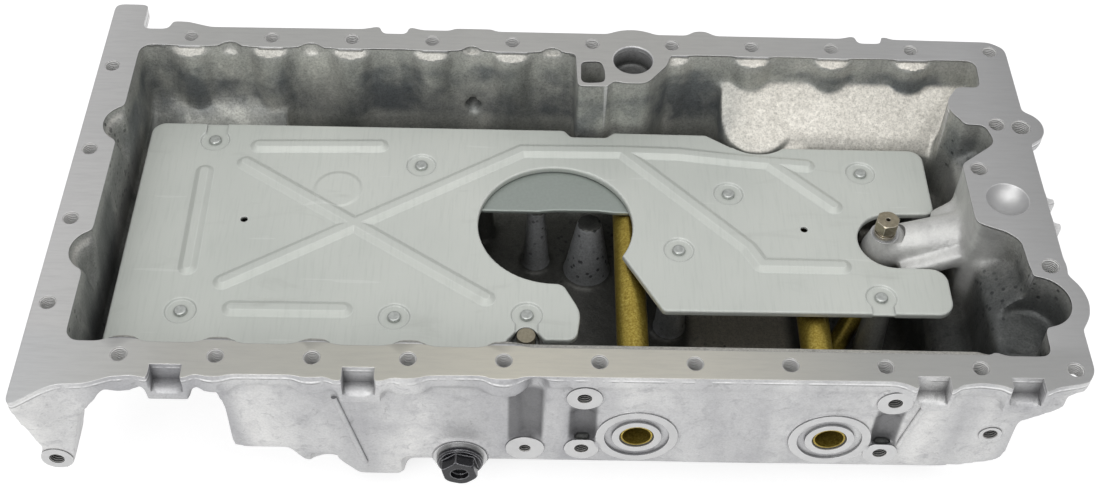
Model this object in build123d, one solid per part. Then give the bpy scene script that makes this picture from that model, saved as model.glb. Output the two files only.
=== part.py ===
from build123d import *
from math import atan2, degrees, radians, sin, tan
import os

# Cast aluminium engine oil pan with its windage baffle, oil tubes, pickup and drain plug.
# Frame: X runs along the engine, Y across it (ports on the -Y side), Z up.
# Z = 0 is the machined rail face, and the origin is the middle of the two bolt rows.

# Bolt rail
bolt_pitch = 45.5
bolts_per_row = 11
row_offset = 113.0
bolt_hole_r = 3.7
rail_inner = 105.5
rail_outer = 121.8
rail_thickness = 9.0
left_end = -274.6
right_end = 236.7
bolt_x = [(i - (bolts_per_row - 1) / 2) * bolt_pitch for i in range(bolts_per_row)]

# Transmission-side holes and timing-side holes in the rail face
end_hole_x = left_end + 7.3
end_hole_y = (-82.4, -27.2, 22.2, 87.0)
end_hole_r = 3.7
end_flange_depth = 20.0
end_flange_y = (-118.0, 137.0)
timing_holes = (
    (right_end - 16.1, 53.8, 4.2, 21), (right_end - 3.2, 51.9, 4.9, 24), (right_end - 32, 19.7, 4.2, 22),
    (right_end - 7.8, -47.9, 4.3, 23),
)

# Body and hollow
floor_depth = 110.0
middle_floor_depth = 98.0
left_floor_depth = 86.0
shallow_depth = 56.0
wall = 6.0
front_wall_top = 121.2
front_draft = 0.036
back_wall_top = rail_inner + 6.5
back_draft = 0.05
sump_left = left_end + 93.1
shallow_left = left_end + 12.6
hollow_left = left_end + 19.8
hollow_right = right_end - 18.7
belly_round = 27.0

# Bolt columns inside and bolt pockets outside
column_r = 14.0
column_top = 2.6
column_blend = 6.0
front_column_r = 10.8
column_places = [(x, row_offset, column_r) for x in bolt_x[:-1] if x != 0]
column_places += [(x, -row_offset, front_column_r) for x in bolt_x[:4]]
pocket_r = 8.6

# Pockets in the rail: the left pair, the timing corner, and the smooth one in the timing pad
left_pocket_x = left_end + 24.6
left_pocket_y = (42.2, -48.2)
left_pocket_r = 14.0
corner_pocket = (right_end - 18.2, -71.0, 16.2)
corner_pocket_floor = -27.0
pad_pocket = (right_end - 20.7, -2.3, 11.3, 9.0)

# Shallow hollows between the back columns, and the cast ledge in front
valley_x = [bolt_pitch * i for i in (-4.5, -3.5, -1.5, -0.5)]
valley_r = 8.0
valley_y = rail_inner - 4.2
valley_depth = 17.0
valley_taper = 12.0
ledge_x = (-57.0, hollow_right - 28)
ledge_y = -100.3
ledge_drop = 2.0

# Cooler flange on the front: two ports, four threaded bosses
cooler_x = 68.6
port_spacing = 96.0
port_z = -50.8
cooler_face = -121.0
cooler_bolt_dx = 150.0
cooler_bolt_z = (-19.0, -61.5)
port_ring_r = 20.4
port_groove = (12.4, 16.0)
port_groove_depth = 2.4
cooler_boss_r = 8.6
recess_floor = -118.0
recess_width = 4.0
flange_pad_top = -47.0
seams = ((-127.0, -26.0, -115.5, -78.0), (158.0, -26.0, 150.0, -68.0))
seam_y = -119.2
seam_r = 1.5
cooler_thread_r = 3.2
cooler_thread_depth = 15.0
side_bosses = ((-34.7, -63.5, 9.6, 2.6, 14.0), (195.8, -45.0, 5.6, 3.3, 13.0))
channel_y = -124.4
channel_r = 8.5
front_channels = ((-32.0, -3.0, -52.0), (-6.4, -31.0, -52.0), (143.6, -31.0, -52.0))
front_seat_r = 7.2

# Threaded hole in the leg
leg_hole = (left_end + 9.0, -62.0)
leg_face = -131.5
leg_thread_r = 3.4
leg_thread_depth = 19.0

# Oil tubes between the ports and the inner bosses, each with a ring seal at both ends
tube_r = 8.3
tube_wall = 1.2
tube_fit = 0.05
tube_end_inset = 0.8
tube_engagement = 15.0
seal_r = 0.95
front_seal_y = -110.5
left_tube_x = cooler_x - port_spacing / 2
right_tube_x = cooler_x + port_spacing / 2
left_tube_seat = 79.0
right_tube_seat = 50.0

# Boss block behind the left tube, and the nose of the ramp over the right tube
block_left = -9.4
block_right = 44.0
block_front = 78.0
round_pocket = (22.9, 100.1, 11.2, 13.0)
passage_depth = 80.0
nose = (95.2, 86.3, 20.5)
ramp_foot = (77.0, -34.8)
ramp_top = (104.5, -17.5)
floor_bosses = ((0.0, 32.0, -62.0, 7.0, 9.0), (-30.0, 38.0, -58.0, 5.0, 4.0))

# Fins on the timing end
fin_y = (0.0, -17.0)

# Baffle
baffle_top = -36.0
sheet = 1.4
lip_height = 3.2
baffle_left = -248.9
baffle_right = 188.4
baffle_back = 79.3
baffle_front = -84.0
window = (-20.0, 7.2, 42.0)
seat_depth = 1.1
seat_r = 7.6
seat_neck = 12.0
open_seats = ((-212.2, 66.2, 84.0), (-34.8, -56.4, -74.0), (151.0, -40.6, -56.0))
bead_height = 1.8
bead_width = 10.5
screw_r = 2.4
screw_head_r = 3.5
screw_head_height = 1.8
screw_length = 12.0
screw_clearance = 0.3
screw_places = (
    (-212.2, 66.2), (-95.0, 49.4), (-212.7, -57.2), (-103.0, -58.9), (-34.8, -56.4),
    (46.2, -10.0), (75.8, 31.9), (151.4, 49.5), (151.0, -40.6),
)
pillar_r = 6.6
pillar_draft = 2.0
plug_place = (-35.0, -68.9)
plug_r = 4.75
plug_top = -37.0
plug_collar = -40.4
plug_length = 11.0
bead_runs = (
    ((-192.1, 61.8), (-114.0, 63.9)),
    ((-214.5, 46.4), (-213.3, -33.6)),
    ((-196.9, 51.5), (-51.9, -48.8)),
    ((-198.2, -40.7), (-38.8, 62.0), (17.8, 62.7), (84.0, -7.8), (90.0, -19.7), (138.1, -19.9)),
    ((12.6, 62.8), (50.0, 62.0), (84.4, 57.6), (126.5, 54.0)),
    ((98.0, 58.6), (137.0, 19.7)),
    ((-192.0, -55.3), (-124.3, -55.1)),
)
small_holes = ((-188.2, 6.4), (115.2, 6.2))
small_hole_r = 2.0

# Lower baffle
lower_sheet = 1.0
lower_lip = 2.0
lower_top = -39.9
lower_corner_r = 6.0
lower_bump = (-8.0, 21.0, 1.2)
lower_x = (-78.0, 52.0)
lower_y = (19.6, 71.0)
lower_screws = ((-62.0, 60.0), (41.0, 62.0))
lower_screw_r = 2.0

# Drain plug
drain_x = -67.2
drain_z = -72.7
drain_face = -120.0
drain_r = 7.0
drain_hex = 16.5
drain_flange_r = 11.6
drain_washer_r = 12.0
drain_washer_thickness = 1.5
drain_boss_r = 13.6
drain_flange = 2.5
drain_hex_height = 6.0
drain_recess_r = 4.6
drain_length = 18.0

# Arm from the timing end: the oil union screws into the top of its tip, the pickup pipe into the bottom
arm_tip = (157.5, 0.5)
arm_seat = -31.5
arm_foot = -60.0
arm_tip_r = 11.0
arm_root_r = 13.5
arm_tip_z = -43.0
arm_root_z = -30.5
arm_root_x = right_end - 33.7
arm_drilling_r = 3.5
union_hex = 11.5
union_hex_height = 6.5
union_neck_r = 4.6
union_neck_height = 3.5
union_r = 4.0
union_depth = 9.0
union_bore_r = 1.25
union_washer_r = 6.6
union_washer_thickness = 1.0

# Pickup: pipe from the foot of the arm to the strainer above the floor
pipe_r = 5.6
pipe_wall = 1.0
pipe_top = -49.0
pipe_seal_z = -54.0
pipe_level = 30.0 - floor_depth
pipe_bend = 12.0
cup_place = (118.0, -66.0)
cup_r = 20.0
cup_height = 9.0
cup_wall = 1.2
cup_gap = 1.5
screen_thickness = 0.8
screen_hole_r = 2.4
bracket_screw = (146.0, -66.0)
bracket_width = 12.0
bracket_thickness = 2.0
bracket_screw_r = 2.5

# Dipstick bore through the back wall
dipstick_x = -67.5
dipstick_z = -40.0
dipstick_r = 4.6
dipstick_tilt = 30.0


def rounded(points):
    """Face inside a closed outline: each point is x, y and the radius that rounds it."""
    spots = [Vector(x, y) for x, y, r in points]
    starts, mids, ends = [], [], []
    for i, (x, y, r) in enumerate(points):
        back = (spots[i - 1] - spots[i]).normalized()
        ahead = (spots[(i + 1) % len(points)] - spots[i]).normalized()
        half = radians(back.get_angle(ahead)) / 2
        starts.append(spots[i] + back * (r / tan(half)))
        ends.append(spots[i] + ahead * (r / tan(half)))
        mids.append(spots[i] + (back + ahead).normalized() * (r / sin(half) - r))
    edges = []
    for i, (x, y, r) in enumerate(points):
        if r > 0:
            edges.append(ThreePointArc(starts[i], mids[i], ends[i]))
        following = starts[(i + 1) % len(points)]
        if (following - ends[i]).length > 1e-6:
            edges.append(Line(ends[i], following))
    return make_face(edges)


def upright(x, y, top, bottom, r):
    """Vertical cylinder between two heights."""
    return Pos(x, y, bottom) * Cylinder(r, top - bottom, align=(Align.CENTER, Align.CENTER, Align.MIN))


def upright_cone(x, y, top, bottom, r, draft):
    """Vertical peg whose sides lean out by draft degrees towards its wider end; r is at the top."""
    return Pos(x, y, top) * extrude(Circle(r), bottom - top, taper=draft)


def along_y(x, z, front, back, r):
    """Cylinder along Y between two Y positions."""
    return Plane(origin=(x, front, z), z_dir=(0, 1, 0)) * Cylinder(
        r, back - front, align=(Align.CENTER, Align.CENTER, Align.MIN)
    )


def block(x0, x1, y0, y1, z0, z1):
    """Box between two corners."""
    return Pos((x0 + x1) / 2, (y0 + y1) / 2, (z0 + z1) / 2) * Box(x1 - x0, y1 - y0, z1 - z0)


def section(points, x0, x1):
    """Prism along X with a rounded outline in Y and Z."""
    return extrude(Plane.YZ.offset(x0) * rounded(points), x1 - x0)


def between_sections(points_a, points_b, x0, x1):
    """Loft along X from one rounded outline to another with as many points."""
    return loft([Plane.YZ.offset(x0) * rounded(points_a), Plane.YZ.offset(x1) * rounded(points_b)])


# Rail face outline
def rail_outline():
    front = -rail_outer
    lug_tip = front - 4.6
    return rounded([
        (left_end, front - 19.5, 1.5), (left_end + 2.6, front - 21.4, 2), (left_end + 13.5, front - 13.2, 8),
        (left_end + 20.5, front - 9.4, 8), (left_end + 34, front - 8.8, 10), (left_end + 46, front - 4.2, 10),
        (left_end + 55, front - 3.4, 5), (left_end + 60, lug_tip, 2), (-195.0, lug_tip, 2), (-190.5, front - 2.2, 5),
        (-170.0, front - 2.0, 12), (-131.0, front - 1.7, 5), (-125.5, lug_tip, 2), (-102.5, lug_tip, 2),
        (-97.0, front - 1.8, 5), (-70.0, front - 0.6, 12), (141.0, front, 10), (148.5, front - 2.8, 5),
        (149.5, lug_tip, 2), (168.0, lug_tip, 2), (170.5, front - 1.6, 5), (181.0, front, 12),
        (193.0, front - 1.6, 6), (195.5, lug_tip, 2), (212.5, lug_tip, 2), (216.0, front - 2.2, 6),
        (right_end - 4, front + 1.2, 6), (right_end, front + 8, 6), (right_end, rail_outer - 6, 7),
        (right_end - 8.5, rail_outer - 0.6, 7), (172.0, rail_outer, 4), (169.0, rail_outer + 2.0, 0.8),
        (166.4, rail_outer + 2.0, 0.6), (166.4, rail_outer - 3.8, 1), (151.8, rail_outer - 3.8, 1),
        (151.8, rail_outer + 2.0, 0.6), (149.4, rail_outer + 2.0, 0.8), (143.0, rail_outer, 4),
        (-56.0, rail_outer, 1), (-56.8, rail_outer + 1.9, 1), (-79.0, rail_outer + 1.9, 1), (-80.0, rail_outer, 1),
        (-97.0, rail_outer, 6), (-105.0, rail_outer + 2.6, 0.6), (-105.7, rail_outer - 3.5, 1),
        (-119.9, rail_outer - 3.5, 1), (-121.5, rail_outer + 2.6, 0.6), (-131.0, rail_outer, 8),
        (-217.5, rail_outer - 0.8, 8), (-231.0, rail_outer + 3.2, 8), (-239.7, rail_outer + 3.5, 1),
        (-241.2, rail_outer - 3.2, 1.2), (left_end + 18.7, rail_outer - 3.3, 0.8),
        (left_end + 18.7, rail_outer + 17.3, 2), (left_end + 2, rail_outer + 17.3, 2.5), (left_end, rail_outer + 15, 2),
    ])


def rail_plate():
    outline = rail_outline()
    outline += Pos(round_pocket[0], round_pocket[1]) * Circle(25.6)
    outline += Pos(62.5, rail_outer - 5.5) * Circle(9.4)
    outline += Pos(right_end - 3.2, 51.7) * Circle(12.6)
    outline += Pos(corner_pocket[0], corner_pocket[1]) * Circle(24.8)
    lug_tip = -rail_outer - 4.6
    plate = extrude(outline, -rail_thickness)
    plate += block(left_end, shallow_left + 1, end_flange_y[0], end_flange_y[1], -end_flange_depth, -1)
    for x in (-204.5, -114.0, 158.7, 203.5):
        plate += block(x - 10.5, x + 10.5, lug_tip, -rail_inner, -18.0, -rail_thickness / 2)
        plate -= block(x - 7.6, x + 7.6, lug_tip - 5, -118.5, -11.5, 5)
    return plate


# Outside of the body, solid
def timing_end(depth, inset):
    """Prism along Y that ends the body in steps towards the timing end."""
    low = right_end - 48.7 - inset
    high = right_end - 28.7 - inset
    return extrude(
        Plane.XZ.offset(-150) * rounded([
            (low - 290, 5, 0), (low - 290, -depth, 0), (low, -depth, 10), (low, -75 + inset, 8), (high, -70 + inset, 8),
            (high, -35 + inset, 8), (right_end - 10.7 - inset, -22 + inset, 6), (right_end - 10.7 - inset, 5, 0),
        ]), 300)


def outer_section(depth):
    return [
        (-front_wall_top, 0, 0), (-front_wall_top + front_draft * depth, -depth, belly_round),
        (back_wall_top - back_draft * depth, -depth, 16), (back_wall_top, 0, 0),
    ]


def outer_body():
    deep, middle, left = outer_section(floor_depth), outer_section(middle_floor_depth), outer_section(left_floor_depth)
    body = section(left, sump_left, -154)
    body += between_sections(left, middle, -154, -147)
    body += section(middle, -147, -129)
    body += between_sections(middle, deep, -129, -120)
    body += section(deep, -120, -97)
    ports = [
        (-front_wall_top, 0, 0), (-118.4, -75, 8), (-96, -floor_depth, 8), (101, -floor_depth, 16), (back_wall_top, 0, 0),
    ]
    ramp_start = nose[0] - nose[2] + wall
    body += section(ports, -97, ramp_start)
    ramped = [
        (-front_wall_top, 0, 0), (-118.4, -75, 8), (-96, -floor_depth, 8), (70, -floor_depth, 12),
        (76, -52, 10), (back_wall_top, -25, 6), (back_wall_top, 0, 0),
    ]
    body += section(ramped, ramp_start, right_end - 10.7) & timing_end(floor_depth, 0)
    shallow = [
        (-110, 0, 0), (-110, -14, 8), (-86, -shallow_depth, 14),
        (back_wall_top - back_draft * shallow_depth, -shallow_depth, 16), (back_wall_top, 0, 0),
    ]
    shoulder = rounded([
        (sump_left - 25, 0, 0), (sump_left - 25, -rail_thickness, 0), (sump_left - 2, -15, 16), (sump_left + 1, -46, 0),
        (sump_left + 1, 0, 0),
    ])
    body += section(left, sump_left - 25, sump_left + 1) & extrude(Plane.XZ.offset(-150) * shoulder, 300)
    body += section(shallow, shallow_left, sump_left + 4)
    x, y, r = corner_pocket
    body += upright_cone(x, y, -1, corner_pocket_floor - wall, r + wall, 2)
    body += upright(round_pocket[0], round_pocket[1], -1, -40, round_pocket[2] + wall)
    for x, y, r, depth in timing_holes[1::2]:
        body += upright(x, y, -1, -depth - 3, r + 5)
    for y in left_pocket_y:
        body += upright_cone(left_pocket_x, y, -1, -30, left_pocket_r + 5, 16)
    return body


# Hollow
def hollow_plan():
    left, right = hollow_left, hollow_right
    plan = rounded([
        (left, -rail_inner, 7), (-57, -rail_inner, 3), (-52, ledge_y, 4), (right - 34, ledge_y, 4),
        (right - 28, -102.6, 5), (right - 22, -rail_inner, 5), (right, -rail_inner, 5), (right, -89, 4),
        (right + 10, -84, 3), (right + 18, -71, 3), (right + 10, -58, 3), (right + 0.3, -50, 5), (right - 0.5, -31, 7),
        (right - 7, -25, 5), (right - 21.5, -19, 5), (right - 21.5, 23, 4), (right - 0.5, 39.5, 7),
        (right - 4, 53.2, 4), (right - 15, 53.2, 3), (right - 21.4, 68.3, 3), (right - 15, 83, 3), (right - 1, 83, 3),
        (right, rail_inner, 6), (block_right, rail_inner, 2), (block_right - 2.3, 96, 3), (30, 81, 8), (16, 81, 8),
        (11.5, 84, 3), (8.6, block_front, 3), (-8.6, block_front, 2), (block_left, rail_inner, 1),
        (left, rail_inner, 7),
    ])
    plan -= Pos(right - 7.5, 68.3) * Circle(14)
    return plan + Pos(corner_pocket[0], corner_pocket[1]) * Circle(corner_pocket[2])


def plan_with_columns(plan):
    """The hollow below the column tops: a round column bulges in at each bolt, blended into the wall."""
    corners = []
    for x, y, r in column_places:
        plan -= Pos(x, y) * Circle(r)
    for x, y, r in column_places:
        half = (r**2 - (row_offset - rail_inner) ** 2) ** 0.5
        corners += [v for v in plan.vertices() if y * v.Y > 0 and abs(abs(v.X - x) - half) + abs(abs(v.Y) - rail_inner) < 0.01]
    return fillet(corners, column_blend)


def ramp_hump():
    """What stands in the hollow at the back right: a ramp with a round nose over the right tube."""
    depth = floor_depth
    x, y, r = nose
    nose_plan = Pos(x, y) * Circle(r) + Pos(x - r / 2, y + 20) * Rectangle(r, 40)
    top_y, top_z = ramp_top
    foot_y, foot_z = ramp_foot
    nose_y = foot_y + 2
    nose_z = foot_z + 2 * (top_z - foot_z) / (top_y - foot_y)
    behind = [(back_wall_top + 2, top_z, 0), (back_wall_top + 2, -depth, 0)]
    nose_slope = section(
        [(60, -depth, 0), (60, -41.5, 0), (y - r, -38.5, 4), (nose_y, nose_z, 8), (top_y, top_z, 4)] + behind,
        x - r - 1, x + r + 1)
    slope = section(
        [(67, -depth, 0), (69.5, -43.5, 7), (foot_y, foot_z, 8), (top_y, top_z, 4)] + behind, x, right_end)
    return (extrude(nose_plan, -depth) & nose_slope) + slope


def hollow():
    depth = floor_depth - wall
    plan = hollow_plan()
    straight = extrude(plan_with_columns(plan), -depth) + extrude(plan, -column_top)

    def inner(d):
        return [
            (-rail_inner, 5, 0), (-rail_inner + 0.03 * d, -d, belly_round - wall), (rail_inner - back_draft * d, -d, 10),
            (rail_inner, 5, 0),
        ]

    left, middle, deep = inner(left_floor_depth - wall), inner(middle_floor_depth - wall), inner(depth)
    room = section(left, sump_left + wall, -154)
    room += between_sections(left, middle, -154, -147)
    room += section(middle, -147, -129)
    room += between_sections(middle, deep, -129, -120)
    room += section(deep, -120, -97)
    ports = [(-rail_inner, 5, 0), (-104, -72, 6), (-88, -depth, 8), (97, -depth, 10), (rail_inner, 5, 0)]
    room += section(ports, -97, hollow_right + 1) & timing_end(depth, wall)
    shallow = [
        (-rail_inner, 5, 0), (-rail_inner + 1, -13, 8), (-81, -shallow_depth + wall, 12),
        (rail_inner - back_draft * (shallow_depth - wall), -shallow_depth + wall, 20), (rail_inner, 5, 0),
    ]
    room += section(shallow, hollow_left - 1, sump_left + wall + 1)
    return straight & (room - ramp_hump())


def valley_scoops():
    """Half-round valleys in the back edge of the hollow, halfway between bolts, that fade out downwards."""
    edge = block(left_end, right_end, rail_inner - 0.5, rail_outer, -valley_depth, 1)
    return [upright_cone(x, valley_y, 0.5, -valley_depth, valley_r, valley_taper) & edge for x in valley_x]


# Raised faces on the front
def front_bosses():
    bosses = []
    for side in (-1, 1):
        bosses.append(along_y(cooler_x + side * port_spacing / 2, port_z, cooler_face, -100, port_ring_r))
        for z in cooler_bolt_z:
            bosses.append(along_y(cooler_x + side * cooler_bolt_dx / 2, z, cooler_face, -100, cooler_boss_r))
    bosses.append(block(cooler_x - 25, cooler_x + 25, cooler_face + 0.4, -100, -74, flange_pad_top))
    for x, z, r, hole_r, depth in side_bosses:
        bosses.append(along_y(x, z, cooler_face + 1, -100, r))
    bosses.append(along_y(drain_x, drain_z, drain_face, -95, drain_boss_r))
    return Part() + bosses


def boss_recesses():
    """Dished rings in the wall round the machined bosses of the cooler flange."""
    places = [(cooler_x + side * port_spacing / 2, port_z, port_ring_r) for side in (-1, 1)]
    places += [(cooler_x + side * cooler_bolt_dx / 2, z, cooler_boss_r) for side in (-1, 1) for z in cooler_bolt_z]
    dishes, bosses = [], []
    for x, z, r in places:
        floor = Plane(origin=(x, recess_floor, z), z_dir=(0, -1, 0))
        dishes.append(floor * Cone(r + 1, r + 1 + recess_width, recess_width, align=(Align.CENTER, Align.CENTER, Align.MIN)))
        bosses.append(along_y(x, z, cooler_face - 5, -100, r))
    groove = block(cooler_x - 25, cooler_x + 25, cooler_face - 1, recess_floor, flange_pad_top, flange_pad_top + 2.2)
    return Part() + dishes + groove - bosses


def front_ribs():
    """Thin raised seams on the front wall."""
    return [round_bar((x0, seam_y, z0), (x1, seam_y + 2, z1), seam_r, seam_r - 0.05) for x0, z0, x1, z1 in seams]


def front_holes():
    holes = []
    for side in (-1, 1):
        x = cooler_x + side * port_spacing / 2
        groove = along_y(x, port_z, cooler_face - 1, cooler_face + port_groove_depth, port_groove[1])
        holes.append(groove - along_y(x, port_z, cooler_face - 2, cooler_face + port_groove_depth + 1, port_groove[0]))
        holes.append(along_y(x, port_z, cooler_face - 1, -90, tube_r + tube_fit))
        holes.append(seal_groove(x, front_seal_y))
        for z in cooler_bolt_z:
            bx = cooler_x + side * cooler_bolt_dx / 2
            holes.append(along_y(bx, z, cooler_face - 1, cooler_face + cooler_thread_depth, cooler_thread_r))
    for x, z, r, hole_r, depth in side_bosses:
        holes.append(along_y(x, z, cooler_face - 1, cooler_face + depth, hole_r))
    holes.append(along_y(drain_x, drain_z, drain_face - 1, -85, drain_r))
    for x, z_top, z_bottom in front_channels:
        holes.append(upright(x, channel_y, z_top, z_bottom, channel_r))
        holes.append(Pos(x, channel_y, z_bottom) * Sphere(channel_r))
    return holes


def seal_groove(x, y):
    return along_y(x, port_z, y - seal_r - 0.3, y + seal_r + 0.3, tube_r + 2 * seal_r)


# Bosses and holes at the rear ends of the tubes
def tube_rear_bosses():
    left = along_y(left_tube_x, port_z, left_tube_seat, block_front + 12, tube_r + 3)
    right = along_y(right_tube_x, port_z, right_tube_seat, 72, tube_r + 3)
    return [left, right]


def tube_rear_holes():
    holes = []
    for x, seat in ((left_tube_x, left_tube_seat), (right_tube_x, right_tube_seat)):
        holes.append(along_y(x, port_z, seat - 1, seat + tube_engagement, tube_r + tube_fit))
        holes.append(seal_groove(x, seat + 7))
    return holes


# Leg under the transmission end, with its threaded hole; its front follows the edge of the rail
def support_leg():
    side = rounded([
        (left_end, -1, 0), (left_end + 0.4, -20, 0), (left_end + 3, -56, 6), (left_end + 5.5, -70, 5),
        (left_end + 16, -69, 5), (left_end + 20, -52, 6), (left_end + 27, -27, 8), (left_end + 41, -8, 8),
        (left_end + 49, -1, 0),
    ])
    front = leg_face - 11
    across = [(front, 0, 0), (front, -4, 3), (leg_face, -52, 10), (leg_face, -75, 0), (-107, -75, 0), (-100, 0, 0)]
    leg = extrude(Plane.XZ.offset(150) * side, -60) & section(across, left_end - 1, left_end + 50)
    leg &= extrude(rail_outline(), -80)
    leg += along_y(leg_hole[0], leg_hole[1], leg_face, -107, 8.0)
    leg -= along_y(leg_hole[0], leg_hole[1], leg_face - 5, leg_face + leg_thread_depth, leg_thread_r)
    leg -= Plane(origin=(left_end + 30.6, -122, -31), z_dir=(1, 0, 0)) * Cylinder(2.6, 24)
    return leg


# Arm with its tip boss and side ridge
def round_bar(start, end, r_start, r_end):
    direction = Vector(*end) - Vector(*start)
    return Plane(origin=start, z_dir=direction) * Cone(
        r_start, r_end, direction.length, align=(Align.CENTER, Align.CENTER, Align.MIN)
    )


def arm():
    x, y = arm_tip
    bar = round_bar((x, y, arm_tip_z), (arm_root_x, 0, arm_root_z), arm_tip_r, arm_root_r)
    tip = upright(x, y, arm_tip_z, arm_foot, arm_tip_r)
    seat = Pos(x, y, arm_tip_z) * Cone(
        arm_tip_r, 7.6, arm_seat - arm_tip_z, align=(Align.CENTER, Align.CENTER, Align.MIN)
    )
    ridge = round_bar((x + 9, -15, -46), (arm_root_x, -12.5, -30), 4.8, 6.0)
    far_ridge = round_bar((arm_root_x - 16, 15, -36), (arm_root_x, 15, -24), 5.0, 6.5)
    return [bar, tip, seat, ridge, far_ridge]


def arm_holes():
    x, y = arm_tip
    spot_face = upright(x, y, arm_seat + 8, arm_seat, union_washer_r + 1)
    top = upright(x, y, arm_seat + 1, arm_seat - union_depth - 1, union_r)
    socket = upright(x, y, pipe_top, arm_foot - 1, pipe_r)
    groove = upright(x, y, pipe_seal_z + seal_r + 0.3, pipe_seal_z - seal_r - 0.3, pipe_r + 2 * seal_r)
    start = Vector(x, y, arm_tip_z - 2.5)
    reach = Vector(arm_root_x, 0, arm_root_z - 2.5) - start
    drilling = Plane(origin=start, z_dir=reach) * Cylinder(
        arm_drilling_r, reach.length, align=(Align.CENTER, Align.CENTER, Align.MIN)
    )
    return [spot_face, top, socket, groove, drilling]


# Pillars and floor bosses
def pillars(outside):
    posts = []
    for x, y in screw_places:
        posts.append(upright_cone(x, y, baffle_top - sheet - seat_depth, -floor_depth, pillar_r, -pillar_draft))
    for x, y in lower_screws:
        posts.append(upright_cone(x, y, lower_top - lower_sheet, -floor_depth, pillar_r - 1, -pillar_draft))
    x, y = plug_place
    posts.append(upright_cone(x, y, plug_collar, -floor_depth, plug_r + 2.5, -pillar_draft))
    for x, y, top, r, draft in floor_bosses:
        posts.append(upright_cone(x, y, top, -floor_depth, r, -draft))
    x, y = bracket_screw
    posts.append(upright_cone(x, y, cup_top, -floor_depth, 6, -pillar_draft))
    return Part() + posts & outside


def pillar_holes():
    holes = []
    for x, y in screw_places:
        holes.append(upright(x, y, baffle_top, baffle_top - seat_depth - screw_length - 0.6, screw_r))
    for x, y in lower_screws:
        holes.append(upright(x, y, lower_top, lower_top - 10.6, lower_screw_r))
    x, y = plug_place
    holes.append(upright(x, y, plug_top + 1, plug_top - plug_length, plug_r))
    x, y = bracket_screw
    holes.append(upright(x, y, cup_top + 1, -floor_depth + 4, bracket_screw_r))
    return holes


# Holes and pockets that open on the rail face
def rail_holes():
    holes = []
    for x in bolt_x:
        holes.append(upright(x, row_offset, 1, -rail_thickness - 1, bolt_hole_r))
        holes.append(upright(x, row_offset, -rail_thickness, -floor_depth - 1, pocket_r))
        holes.append(block(x - pocket_r, x + pocket_r, row_offset, 130, -floor_depth - 1, -rail_thickness))
        holes.append(upright(x, -row_offset, 1, -floor_depth - 1, bolt_hole_r))
        holes.append(upright(x, -row_offset, front_seat_depth(x), -floor_depth - 1, front_seat_r))
    for y in end_hole_y:
        holes.append(upright(end_hole_x, y, 1, -end_flange_depth - 1, end_hole_r))
    for x, y, r, depth in timing_holes + (round_pocket, pad_pocket):
        holes.append(upright(x, y, 1, -depth, r))
    x, y, r = corner_pocket
    holes.append(upright(x, y, 1, corner_pocket_floor, r))
    for y in left_pocket_y:
        holes.append(upright(left_pocket_x, y, 1, -5, left_pocket_r))
        holes.append(upright_cone(left_pocket_x, y, 1, -24, left_pocket_r - 2, 10))
    passage = rounded([(-6.6, 80.3, 2), (-6.5, 97.9, 2), (5.1, 98.7, 2), (6.8, 90, 1), (6.8, 81.1, 2)])
    holes.append(Pos(0, 0, 1) * extrude(passage, -passage_depth))
    holes.append(block(ledge_x[0], ledge_x[1], -rail_inner, ledge_y + 1, -ledge_drop, 1))
    return holes


def front_seat_depth(x):
    """Height at which the bolt heads of the front row sit."""
    if x < sump_left - 5:
        return -10
    if x < -97:
        return -74
    return -78


def dipstick_axis():
    return Plane(origin=(dipstick_x, rail_inner - 2, dipstick_z), z_dir=(0, 1, tan(radians(dipstick_tilt))))


def make_casting():
    outside = outer_body()
    room = hollow()
    casting = rail_plate() + outside + support_leg() - room
    casting -= valley_scoops()
    casting += front_bosses() - room
    casting -= boss_recesses()
    casting += front_ribs()
    casting += tube_rear_bosses() + arm()
    casting += pillars(outside)
    casting += fins()
    boss = Cylinder(8.5, 24, align=(Align.CENTER, Align.CENTER, Align.MIN))
    casting += dipstick_axis() * boss & block(-90, -45, rail_inner, 124, -60, -9)
    casting -= front_holes() + tube_rear_holes() + arm_holes() + pillar_holes() + rail_holes()
    casting -= dipstick_axis() * Cylinder(dipstick_r, 70)
    return casting


# Fins on the timing end
def fins():
    outline = rounded([
        (right_end - 30, -rail_thickness + 1, 0), (right_end - 1, -2.5, 0), (right_end + 6.5, -2.5, 2),
        (right_end + 5, -12, 4), (right_end - 6, -26, 2), (right_end - 27, -42, 0), (right_end - 30, -42, 0),
    ])
    return [extrude(Plane.XZ.offset(-y) * outline, 2.2, both=True) for y in fin_y]


# Baffle plate
def bead(start, end, top):
    """Raised bead between two points of the sheet, from its wide base to its narrow top."""
    middle = (start + end) / 2
    along = end - start
    place = Pos(middle.X, middle.Y, top) * Rot(0, 0, degrees(atan2(along.Y, along.X)))
    base = place * SlotCenterToCenter(along.length, bead_width)
    crown = Pos(0, 0, bead_height) * place * SlotCenterToCenter(along.length, bead_width - 3.6 * bead_height)
    return loft([base, crown])


def beads(top):
    """Beads along the runs, whose first and last points are the bead's tips."""
    solids = []
    for run in bead_runs:
        spots = [Vector(*spot) for spot in run]
        spots[0] += (spots[1] - spots[0]).normalized() * (bead_width / 2)
        spots[-1] += (spots[-2] - spots[-1]).normalized() * (bead_width / 2)
        solids += [bead(a, b, top) for a, b in zip(spots, spots[1:])]
    return solids


def screw_recesses(top):
    """Seats of the baffle screws; three of them run out over an edge."""
    recesses = []
    for x, y in screw_places:
        recesses.append(Pos(x, y, top - seat_depth) * Cone(
            seat_r, seat_r + 0.9, seat_depth + 0.01, align=(Align.CENTER, Align.CENTER, Align.MIN)
        ))
    recesses += seat_necks(top - seat_depth, top + 1)
    return recesses


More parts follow.
